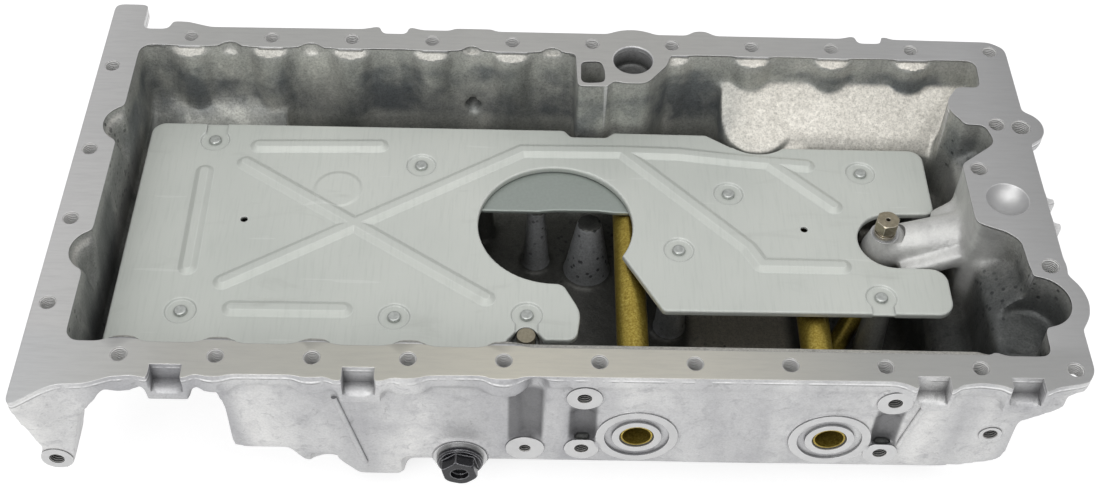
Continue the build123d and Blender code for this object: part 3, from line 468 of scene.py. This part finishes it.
class Surface:
    """A principled material with short helpers for its node tree. The scale of a noise is per metre."""

    def __init__(self, name, metallic, roughness, color):
        self.material = bpy.data.materials.new(name)
        self.material.use_nodes = True
        self.tree = self.material.node_tree
        self.shader = self.tree.nodes["Principled BSDF"]
        self.shader.inputs["Metallic"].default_value = metallic
        self.shader.inputs["Roughness"].default_value = roughness
        self.shader.inputs["Base Color"].default_value = (*color, 1)
        self.place = self.tree.nodes.new("ShaderNodeTexCoord").outputs["Object"]
        split = self.tree.nodes.new("ShaderNodeSeparateXYZ")
        self.link(self.place, split.inputs[0])
        self.x, self.y, self.z = split.outputs
        facing = self.tree.nodes.new("ShaderNodeSeparateXYZ")
        self.link(self.tree.nodes.new("ShaderNodeTexCoord").outputs["Normal"], facing.inputs[0])
        self.normal_z = facing.outputs["Z"]
        self.rounded = None

    def link(self, source, target):
        self.tree.links.new(source, target)

    def put(self, value, target):
        if isinstance(value, tuple):
            target.default_value = (*value, 1) if len(target.default_value) == 4 else value
        elif isinstance(value, (int, float)):
            target.default_value = value
        else:
            self.link(value, target)

    def stretched(self, scale, turn=(0, 0, 0)):
        node = self.tree.nodes.new("ShaderNodeMapping")
        node.inputs["Scale"].default_value = scale
        node.inputs["Rotation"].default_value = turn
        self.link(self.place, node.inputs["Vector"])
        return node.outputs["Vector"]

    def noise(self, scale, detail=3.0, rough=0.5, vector=None, warp=0.0):
        node = self.tree.nodes.new("ShaderNodeTexNoise")
        node.inputs["Scale"].default_value = scale
        node.inputs["Detail"].default_value = detail
        node.inputs["Roughness"].default_value = rough
        node.inputs["Distortion"].default_value = warp
        self.link(vector or self.place, node.inputs["Vector"])
        return node.outputs["Fac"]

    def cells(self, scale):
        """Distance from scattered points."""
        node = self.tree.nodes.new("ShaderNodeTexVoronoi")
        node.inputs["Scale"].default_value = scale
        self.link(self.place, node.inputs["Vector"])
        return node.outputs["Distance"]

    def ramp(self, source, stops):
        node = self.tree.nodes.new("ShaderNodeValToRGB")
        elements = node.color_ramp.elements
        while len(elements) < len(stops):
            elements.new(0.5)
        for element, (spot, color) in zip(elements, stops):
            element.position = spot
            element.color = (*color, 1)
        self.link(source, node.inputs["Fac"])
        return node.outputs["Color"]

    def span(self, source, low, high, to_low=0.0, to_high=1.0, smooth=False):
        """A value turned into another one, from to_low at low to to_high at high, and level outside them."""
        node = self.tree.nodes.new("ShaderNodeMapRange")
        if smooth:
            node.interpolation_type = "SMOOTHSTEP"
        for label, value in (("From Min", low), ("From Max", high), ("To Min", to_low), ("To Max", to_high)):
            node.inputs[label].default_value = value
        self.link(source, node.inputs["Value"])
        return node.outputs["Result"]

    def past(self, place, start, full, to_low=0.0, to_high=1.0, smooth=False):
        """The same for a place: to_low at start and to_high at full."""
        return self.span(place, start * MM, full * MM, to_low, to_high, smooth)

    def between(self, place, low, high, soft):
        """1 between two places, fading to 0 over a soft border outside them."""
        return self.times(self.past(place, low - soft, low, smooth=True),
                          self.past(place, high, high + soft, 1.0, 0.0, smooth=True))

    def mix(self, factor, a, b, mode="MIX"):
        node = self.tree.nodes.new("ShaderNodeMix")
        node.data_type = "RGBA"
        node.blend_type = mode
        for spot, value in ((MIX_FACTOR, factor), (MIX_A, a), (MIX_B, b)):
            self.put(value, node.inputs[spot])
        return node.outputs[MIX_RESULT]

    def math(self, operation, a, b=0.0):
        node = self.tree.nodes.new("ShaderNodeMath")
        node.operation = operation
        self.put(a, node.inputs[0])
        self.put(b, node.inputs[1])
        return node.outputs[0]

    def times(self, *sources):
        total = sources[0]
        for source in sources[1:]:
            total = self.math("MULTIPLY", total, source)
        return total

    def crevices(self, reach):
        """Openness of the surroundings, 0 in a crevice and 1 in the open."""
        node = self.tree.nodes.new("ShaderNodeAmbientOcclusion")
        node.samples = 4
        node.inputs["Distance"].default_value = reach * MM
        return node.outputs["AO"]

    def distance(self, spot):
        """Distance in plan from a point."""
        away = self.tree.nodes.new("ShaderNodeVectorMath")
        away.operation = "DISTANCE"
        self.link(self.stretched((1.0, 1.0, 0.0)), away.inputs[0])
        away.inputs[1].default_value = (spot[0] * MM, spot[1] * MM, 0.0)
        return away.outputs["Value"]

    def attribute(self, name):
        node = self.tree.nodes.new("ShaderNodeAttribute")
        node.attribute_name = name
        return node.outputs["Fac"]

    def bevel_normals(self, radius):
        """Normals rounded over the edges."""
        node = self.tree.nodes.new("ShaderNodeBevel")
        node.samples = 4
        node.inputs["Radius"].default_value = radius * MM
        self.rounded = node.outputs["Normal"]
        self.link(self.rounded, self.shader.inputs["Normal"])

    def edge_mask(self):
        """1 where bevel_normals turns the normal, 0 on flat faces."""
        true_normal = self.tree.nodes.new("ShaderNodeNewGeometry").outputs["Normal"]
        dot = self.tree.nodes.new("ShaderNodeVectorMath")
        dot.operation = "DOT_PRODUCT"
        self.link(self.rounded, dot.inputs[0])
        self.link(true_normal, dot.inputs[1])
        return self.span(dot.outputs["Value"], ON_EDGE, BESIDE_EDGE, 1.0, 0.0)

    def color(self, source):
        self.link(source, self.shader.inputs["Base Color"])

    def roughness(self, source):
        self.link(source, self.shader.inputs["Roughness"])

    def bump(self, source, height, strength=1.0):
        node = self.tree.nodes.new("ShaderNodeBump")
        node.inputs["Distance"].default_value = height * MM
        node.inputs["Strength"].default_value = strength
        if self.rounded:
            self.link(self.rounded, node.inputs["Normal"])
        self.link(source, node.inputs["Height"])
        self.rounded = node.outputs["Normal"]
        self.link(self.rounded, self.shader.inputs["Normal"])


def flash_highlight_and_shadow(s, tone):
    """Painted highlight along the broken flash under the rail, with a painted shadow line below it."""
    upright = s.span(s.normal_z, 0.5, 0.3)
    breaks = s.span(s.noise(60, 4, 0.7, s.stretched((1.0, 1.0, 0.1))), 0.4, 0.55)
    # Painted highlight on the flash
    flash = s.times(s.between(s.z, -2.8, -2.2, 0.4), breaks, upright)
    tone = s.mix(flash, tone, HIGHLIGHT_WHITE)
    # Painted shadow under the flash
    below = s.times(s.between(s.z, -3.8, -3.4, 0.3), breaks, upright, 0.6)
    return s.mix(below, tone, (0.2, 0.2, 0.2))


def painted_channel_shade(s, tone):
    """Painted shade in the upright channels between the front bosses."""
    front = s.past(s.y, -100, -105)
    for channel_x, bottom, top, half in SHADED_CHANNELS:
        across = s.between(s.x, channel_x - half, channel_x + half, 2)
        channel = s.times(across, s.between(s.z, bottom, top, 5), front)
        tone = s.mix(s.times(channel, 0.85), tone, (0.12, 0.12, 0.125))
    return tone


def outer_skin(s, clouds):
    """Pale outside: soft upright bands of painted highlight and shade, grey smudges, stains, the painted
    flash highlight and shadow, painted shade in the channels and in crevices.
    """
    # Upright bands of painted highlight and shade, standing in for the soft undulation of the wall
    upright_light_bands = s.noise(15, 3, 0.55, s.stretched((1.0, 1.0, 0.22), LEAN), warp=0.4)
    band_light_tones = [(0.34, (0.46, 0.46, 0.475)), (0.5, (0.68, 0.68, 0.68)), (0.66, (0.88, 0.875, 0.86))]
    tone = s.ramp(upright_light_bands, band_light_tones)
    smudge = s.span(clouds, 0.48, 0.72, 0.0, 0.5)
    tone = s.mix(smudge, tone, (0.48, 0.48, 0.5))
    mottle = s.span(s.noise(140, 5, 0.75, warp=0.6), 0.52, 0.68, 0.0, 0.5)
    tone = s.mix(mottle, tone, (0.4, 0.4, 0.415))
    stain = s.span(s.noise(85, 4, 0.7, warp=1.2), 0.63, 0.68, 0.0, 0.4)
    tone = s.mix(stain, tone, (0.3, 0.3, 0.3))
    tone = flash_highlight_and_shadow(s, tone)
    tone = painted_channel_shade(s, tone)
    # Painted shade in crevices, from ambient occlusion
    crevice_shade = s.span(s.crevices(12), 0.3, 0.8, 0.85, 0.0, smooth=True)
    return s.mix(crevice_shade, tone, (0.13, 0.13, 0.135))


def back_wall(s, streams, facing_up):
    """Mottled grey with darker blotches in a band across the middle, and painted shade on the up-facing ledge
    at the left, broken by lighter streams.
    """
    tone = s.ramp(streams, [(0.3, (0.24, 0.25, 0.235)), (0.5, (0.4, 0.405, 0.375)), (0.7, (0.6, 0.6, 0.55))])
    # Darker blotches in a band across the middle of the wall
    dark_blotches = s.times(s.span(s.noise(26, 3, 0.6), 0.45, 0.62), s.between(s.z, -42, -14, 8))
    tone = s.mix(s.times(dark_blotches, 0.75), tone, (0.09, 0.105, 0.12))
    # Painted shade on the up-facing ledge at the left, broken by lighter streams and strongest near its right
    # edge
    shelf_shade_mask = s.times(s.past(s.x, -170, -175), facing_up, s.past(s.z, -12, -20))
    streaks = s.span(streams, 0.42, 0.6, 0.9, 0.35)
    shelf_shade_amount = s.math("MAXIMUM", streaks, s.past(s.x, -205, -182, 0.0, 0.95))
    return s.mix(s.times(shelf_shade_mask, shelf_shade_amount), tone, (0.12, 0.125, 0.118))


def deep_parts(s, tone, facing_up):
    """Painted shade on the deep floor, lighter pillars, painted light on the floor under the baffle's window
    and just under the rail, painted shade on the end wall, pits.
    """
    # Painted shade on the deep floor, stronger where it faces up
    level = s.span(facing_up, 0.0, 1.0, 0.3, 0.75)
    floor = s.times(s.past(s.z, -30, -85), s.past(s.y, 100, 70), level)
    tone = s.mix(floor, tone, (0.05, 0.048, 0.042))
    # Painted light on the walls just under the rail
    lit_under_rail = s.past(s.z, -14, -1, 0.0, 0.55, smooth=True)
    tone = s.mix(lit_under_rail, tone, (0.46, 0.46, 0.44))
    steep = s.span(facing_up, 0.6, 0.2)
    pillars = s.times(s.between(s.x, -30, 50, 10), s.between(s.y, -50, 50, 10), steep, s.past(s.z, -20, -30))
    tone = s.mix(pillars, tone, (0.38, 0.39, 0.4))
    # Painted light on the floor under the baffle's window
    painted_lit_floor = s.times(s.between(s.x, 62, 110, 8), s.between(s.y, -70, 15, 10), s.past(s.z, -30, -50))
    tone = s.mix(s.times(painted_lit_floor, 0.8), tone, (0.62, 0.58, 0.5))
    # Painted shade on the end wall
    shaded_end_wall = s.times(s.past(s.x, 180, 200, smooth=True), s.past(s.y, -15, -40), s.past(s.z, -4, -20))
    tone = s.mix(s.times(shaded_end_wall, 0.6), tone, (0.05, 0.053, 0.053))
    pits = s.times(s.span(s.cells(230), 0.3, 0.2), s.span(s.noise(24, 3, 0.6), 0.5, 0.6), s.past(s.y, 85, 60))
    return s.mix(s.times(pits, 0.75), tone, (0.02, 0.022, 0.024))


def lit_speckled_tops(s, tone, clouds, facing_up):
    """Speckled grain with painted light on the up-facing faces of the ramp, with a wavering border, and on
    the crest tops under the rail.
    """
    waver = s.math("MULTIPLY", s.math("SUBTRACT", clouds, 0.5), 30 * MM)
    ramp_left = s.past(s.math("ADD", s.x, waver), 64, 100, 0.25, 1.0, smooth=True)
    ramp_front = s.past(s.math("ADD", s.y, waver), 50, 72, smooth=True)
    # Painted light only where the ramp and the crests face up
    lit_ramp = s.times(ramp_left, s.past(s.x, 60, 66), ramp_front, facing_up)
    lit_crest_tops = s.times(s.past(s.z, -8, -3, 0.0, 0.5, smooth=True), facing_up)
    lit_speckle = s.ramp(s.noise(300, 4, 0.75), [
        (0.32, (0.5, 0.48, 0.435)), (0.52, (0.64, 0.615, 0.56)), (0.72, (0.75, 0.725, 0.665)),
    ])
    lit_speckle = s.mix(s.span(clouds, 0.35, 0.7, 0.0, 0.3), lit_speckle, (0.48, 0.465, 0.42))
    return s.mix(s.math("MAXIMUM", lit_ramp, lit_crest_tops), tone, lit_speckle)


def inner_skin(s, clouds, arm):
    """Inside: mottled grey on the back wall, painted shade towards the floor and the front, speckled grain
    and painted light on the ramp.
    """
    facing_up = s.span(s.normal_z, 0.3, 0.8, 0.0, 1.0, smooth=True)
    streams = s.noise(30, 4, 0.6, s.stretched((1.0, 1.0, 0.35)), warp=0.6)
    # Painted shade: darker towards the front, on the inner face of the front wall
    shaded_front_tones = [(0.3, (0.07, 0.075, 0.075)), (0.5, (0.15, 0.155, 0.15)), (0.7, (0.3, 0.3, 0.285))]
    to_back = s.past(s.y, 20, 90, smooth=True)
    tone = s.mix(to_back, s.ramp(streams, shaded_front_tones), back_wall(s, streams, facing_up))
    tone = deep_parts(s, tone, facing_up)
    tone = s.mix(arm, tone, s.ramp(clouds, [(0.35, (0.5, 0.5, 0.49)), (0.65, (0.68, 0.68, 0.66))]))
    tone = lit_speckled_tops(s, tone, clouds, facing_up)
    # Painted shade inside the round pocket, mottled
    pocket = s.times(s.past(s.distance(ROUND_POCKET), 11.8, 11.4), s.past(s.z, -0.6, -1.0))
    pocket_shade_tone = s.mix(streams, (0.015, 0.015, 0.015), (0.15, 0.15, 0.15))
    tone = s.mix(s.times(pocket, 0.85), tone, pocket_shade_tone)
    # Painted shade in crevices, from ambient occlusion
    crevice_shade = s.span(s.crevices(10), 0.25, 0.75, 0.6, 0.0, smooth=True)
    return s.mix(crevice_shade, tone, (0.06, 0.062, 0.06))


def cast_skin():
    """Die-cast skin, a pale tone outside and a darker one inside, the inside's darkness being partly painted
    shade of the hollow.
    """
    s = Surface("cast_aluminium", 0.45, 0.5, (0.5, 0.5, 0.5))
    inside = s.attribute("inside")
    clouds = s.noise(38, 5, 0.65, warp=0.6)
    grain = s.noise(620, 3, 0.7)
    arm = s.times(s.between(s.x, 142, 240, 6), s.between(s.y, -21, 21, 8), s.past(s.z, -62, -50))
    tone = s.mix(inside, outer_skin(s, clouds), inner_skin(s, clouds, arm))
    speck = s.times(s.span(s.cells(900), 0.1, 0.55, 0.75, 1.12), s.span(grain, 0.3, 0.7, 0.75, 1.25))
    strength = s.times(s.span(inside, 0.0, 1.0, 0.25, 0.75), s.span(arm, 0.0, 1.0, 1.0, 0.2))
    s.color(s.mix(strength, tone, s.mix(1.0, tone, speck, "MULTIPLY")))
    s.roughness(s.span(clouds, 0.3, 0.7, 0.36, 0.52))
    s.bump(grain, 0.2)
    s.bump(s.noise(95, 4, 0.6), 1.2, 0.5)
    swell = s.noise(22, 2, 0.5, s.stretched((1.0, 1.0, 0.3), LEAN))
    s.bump(s.times(swell, s.span(inside, 0.0, 1.0, 1.0, 0.25)), 8, 0.6)
    return s.material


def milled(name, bright, streak_scale, roughness=0.36, tones=None):
    """Milled face: fine streaks along the cutter's path, painted highlights on thin edges."""
    s = Surface(name, 0.9, roughness, bright)
    s.bevel_normals(0.7)
    edges = s.edge_mask()
    streak = s.noise(55, 5, 0.7, s.stretched(streak_scale))
    fine = s.noise(260, 3, 0.6, s.stretched(streak_scale))
    broad = s.noise(7, 3, 0.5, warp=0.3)
    shade = (0.3, 0.3, 0.3)
    tone = tones(s) if tones else bright
    tone = s.mix(s.span(broad, 0.35, 0.65, 0.0, 0.12), tone, shade)
    tone = s.mix(s.span(streak, 0.42, 0.7, 0.0, 0.16), tone, shade)
    # Painted highlight on the edges
    s.color(s.mix(s.times(edges, 0.7), tone, HIGHLIGHT_WHITE))
    s.roughness(s.span(fine, 0.3, 0.7, roughness - 0.06, roughness + 0.08))
    s.bump(fine, 0.03)
    return s.material


def rail_painted_reflection(s):
    """Painted reflection of the room: warm and bright at the middle of the front, grey at the right, pale at
    the left end.
    """
    along = s.past(s.x, -275, 247)
    front = s.ramp(along, [
        (0.0, (0.7, 0.705, 0.71)), (0.14, (0.55, 0.545, 0.51)), (0.3, (0.56, 0.55, 0.49)),
        (0.45, (0.65, 0.625, 0.54)), (0.62, (0.62, 0.6, 0.53)), (0.78, (0.44, 0.44, 0.42)),
        (1.0, (0.44, 0.44, 0.44)),
    ])
    rest = s.ramp(along, [
        (0.0, (0.74, 0.735, 0.73)), (0.1, (0.62, 0.62, 0.6)), (0.6, (0.6, 0.595, 0.57)),
        (0.93, (0.56, 0.56, 0.56)), (1.0, (0.45, 0.45, 0.45)),
    ])
    return s.mix(s.past(s.y, -95, -105), rest, front)


def threaded_metal(name, dark, light, along):
    """Bore walls with stripes of painted light and shade along the turns of a thread, along one of the three
    axes.
    """
    s = Surface(name, 0.1, 0.4, light)
    turns = s.math("SINE", s.times((s.x, s.y, s.z)[along], tau / (THREAD_PITCH * MM)))
    rough = s.math("ADD", turns, s.noise(700, 3, 0.6))
    s.color(s.mix(s.span(rough, -0.4, 1.4), dark, light))
    s.bump(turns, 0.7)
    return s.material


def baffle_steel():
    """Pressed steel: streaks, smears, a few scratches, a round stamp, painted highlights on the edges and
    painted shade in crevices.
    """
    s = Surface("baffle_steel", 0.3, 0.5, (0.6, 0.63, 0.6))
    s.bevel_normals(1.2)
    broad = s.noise(9, 3, 0.5)
    tone = s.ramp(broad, [(0.3, (0.53, 0.555, 0.52)), (0.7, (0.62, 0.64, 0.6))])
    streak = s.noise(60, 4, 0.6, s.stretched((10.0, 0.8, 1.0)))
    tone = s.mix(s.span(streak, 0.5, 0.75, 0.0, 0.25), tone, (0.42, 0.45, 0.42))
    smear = s.noise(22, 5, 0.6, s.stretched((0.7, 2.4, 1.0)), warp=0.8)
    tone = s.mix(s.span(smear, 0.6, 0.72, 0.0, 0.3), tone, (0.38, 0.39, 0.36))
    scratch = s.noise(18, 2, 0.4, s.stretched((1.0, 14.0, 1.0), (0, 0, 0.7)))
    tone = s.mix(s.span(scratch, 0.71, 0.73, 0.0, 0.15), tone, (0.85, 0.86, 0.84))
    # Painted shade in crevices
    tone = s.mix(s.span(s.crevices(4), 0.45, 0.95, 0.55, 0.0), tone, (0.25, 0.27, 0.25))
    # Painted highlight on the edges
    tone = s.mix(s.times(s.edge_mask(), 0.55), tone, (0.9, 0.92, 0.9))
    s.color(tone)
    s.roughness(s.span(streak, 0.3, 0.7, 0.46, 0.58))
    s.bump(streak, 0.02)
    s.bump(s.past(s.distance(BAFFLE_STAMP), STAMP_R, STAMP_R - STAMP_SLOPE, smooth=True), 0.6)
    return s.material


def plain(name, metallic, roughness, color, spread=0.15, edge=0.0, glint=None):
    """One colour with fine grain, rounded edge normals where edge gives their radius, and a painted highlight
    of colour glint on the edges when glint is given.
    """
    s = Surface(name, metallic, roughness, color)
    if edge:
        s.bevel_normals(edge)
    grain = s.noise(600, 3, 0.6)
    dark = tuple(c * (1 - spread) for c in color)
    light = tuple(min(1.0, c * (1 + spread)) for c in color)
    tone = s.ramp(grain, [(0.35, dark), (0.65, light)])
    # Painted highlight of colour glint on the edges
    s.color(s.mix(s.edge_mask(), tone, glint) if glint else tone)
    s.bump(grain, 0.05)
    return s.material


def oil_tube():
    """Gold passivated steel, speckled brown, with painted shade where it is shut in."""
    s = Surface("tube_gold", 0.75, 0.33, (0.45, 0.33, 0.06))
    speck = s.noise(800, 4, 0.7)
    tone = s.ramp(speck, [(0.34, (0.26, 0.18, 0.025)), (0.52, (0.44, 0.33, 0.06)), (0.68, (0.62, 0.5, 0.13))])
    broad = s.noise(60, 4, 0.6)
    tone = s.mix(s.span(broad, 0.45, 0.62, 0.0, 0.35), tone, (0.26, 0.18, 0.03))
    # Painted shade where the tube is shut in
    shut_in_shade = s.span(s.crevices(12), 0.3, 0.75, 0.9, 0.0, smooth=True)
    s.color(s.mix(shut_in_shade, tone, (0.05, 0.02, 0.004)))
    s.bump(speck, 0.03)
    return s.material


def dress(material, *names):
    for name in names:
        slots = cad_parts[name].data.materials
        slots.clear()
        slots.append(material)


# Faces of the casting
CAST_SLOT, RAIL_SLOT, PAD_SLOT, DRILL_SLOT, THREAD_SLOT = range(5)


def near_hole(spot, mouth, out, r, depth):
    """Whether a face centre lies on the wall or the chamfer of a hole."""
    away = Vector(spot) - Vector(mouth)
    down = -away.dot(Vector(out))
    across = (away + Vector(out) * down).length
    return -ALONG_HOLE < down < depth + ALONG_HOLE and across < r + HOLE_CHAMFER + SKIM


def slot_of(spot, normal):
    """Material slot of a face, from its centre. Where two holes meet, the later one of the list counts."""
    if abs(spot.z) < ON_FACE and normal.z > FACES_UP:
        return RAIL_SLOT
    if (spot - Vector(PAD_POCKET)).length < DISH_R + ROUND_DISH:
        return PAD_SLOT
    for hole in reversed(HOLES):
        mouth, out = hole[:2]
        if mouth != ROUND_POCKET and near_hole(spot, *hole):
            return DRILL_SLOT if out == UP else THREAD_SLOT
    for mouth, out, r in PADS:
        away = spot - Vector(mouth)
        if abs(away.dot(Vector(out))) < ON_FACE and away.length < r + ROUND_PAD:
            return PAD_SLOT
    return CAST_SLOT


def mark_inside(mesh):
    """An attribute that is 1 where walls stand below, outward across and outward along."""
    tree = BVHTree.FromPolygons([v.co for v in mesh.vertices], [tuple(p.vertices) for p in mesh.polygons])
    values = []
    for vertex in mesh.vertices:
        spot = vertex.co + vertex.normal * RAY_START * MM
        ways = (Vector((0, 0, -1)), Vector((0, copysign(1, spot.y), 0)), Vector((copysign(1, spot.x), 0, 0)))
        enclosed = all(tree.ray_cast(spot, way)[0] is not None for way in ways)
        values.append(1.0 if enclosed and spot.z < INSIDE_TOP * MM else 0.0)
    mesh.attributes.new("inside", "FLOAT", "POINT").data.foreach_set("value", values)


def paint_cast_body(piece):
    """Materials of the casting: cast skin, milled faces and drilled holes."""
    mesh = piece.data
    mesh.materials.clear()
    metal = (0.6, 0.6, 0.6)
    for material in (
        cast_skin(),
        milled("milled_rail", metal, (1.0, 9.0, 1.0), tones=rail_painted_reflection),
        milled("milled_pads", metal, (1.0, 1.0, 1.0), 0.4),
        # Near white: painted light in the drilled holes
        threaded_metal("drilled_aluminium_painted_light", (0.82, 0.81, 0.79), (1.0, 1.0, 0.99), along=2),
        # Dark: painted shade in the threaded holes
        threaded_metal("threads_aluminium_painted_shade", (0.12, 0.12, 0.12), (0.6, 0.59, 0.57), along=1),
    ):
        mesh.materials.append(material)
    for polygon in mesh.polygons:
        polygon.use_smooth = True
        polygon.material_index = slot_of(polygon.center / MM, polygon.normal)
    mark_inside(mesh)
    mesh.set_sharp_from_angle(angle=SHARP_ANGLE)


make_camera()
make_light()
make_floor()

cast_body = make_cast_body()
paint_cast_body(cast_body)
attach(cast_body, "root")
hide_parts("pan_casting")

dress(cast_skin(), "pan_casting")
dress(baffle_steel(), "baffle_plate")
dress(plain("lower_baffle_steel", 0.5, 0.35, (0.33, 0.365, 0.34), spread=0.04, edge=1.0), "lower_baffle")
dress(plain("screw_steel", 0.8, 0.35, (0.5, 0.52, 0.5), edge=0.4), "baffle_screws", "lower_baffle_screws",
      "pickup_screw")
dress(plain("plug_steel", 0.7, 0.45, (0.3, 0.27, 0.2), edge=0.5), "baffle_plug")
dress(oil_tube(), "cooler_tube_left", "cooler_tube_right", "pickup_pipe", "pickup_cup", "pickup_bracket")
dress(plain("seal_rubber", 0.0, 0.6, (0.02, 0.02, 0.02)), "left_tube_front_seal", "left_tube_rear_seal",
      "right_tube_front_seal", "right_tube_rear_seal", "pickup_pipe_seal")
dress(plain("plug_black", 0.4, 0.22, (0.02, 0.02, 0.023), edge=0.7, glint=(0.4, 0.4, 0.42)), "drain_plug")
dress(plain("washer_aluminium", 0.9, 0.4, (0.4, 0.4, 0.4)), "drain_plug_washer", "oil_union_washer")
dress(plain("union_nickel", 0.9, 0.28, (0.34, 0.3, 0.22), edge=0.5, glint=(0.8, 0.76, 0.66)), "oil_union")
dress(plain("screen_steel", 0.8, 0.5, (0.4, 0.4, 0.38)), "pickup_screen")
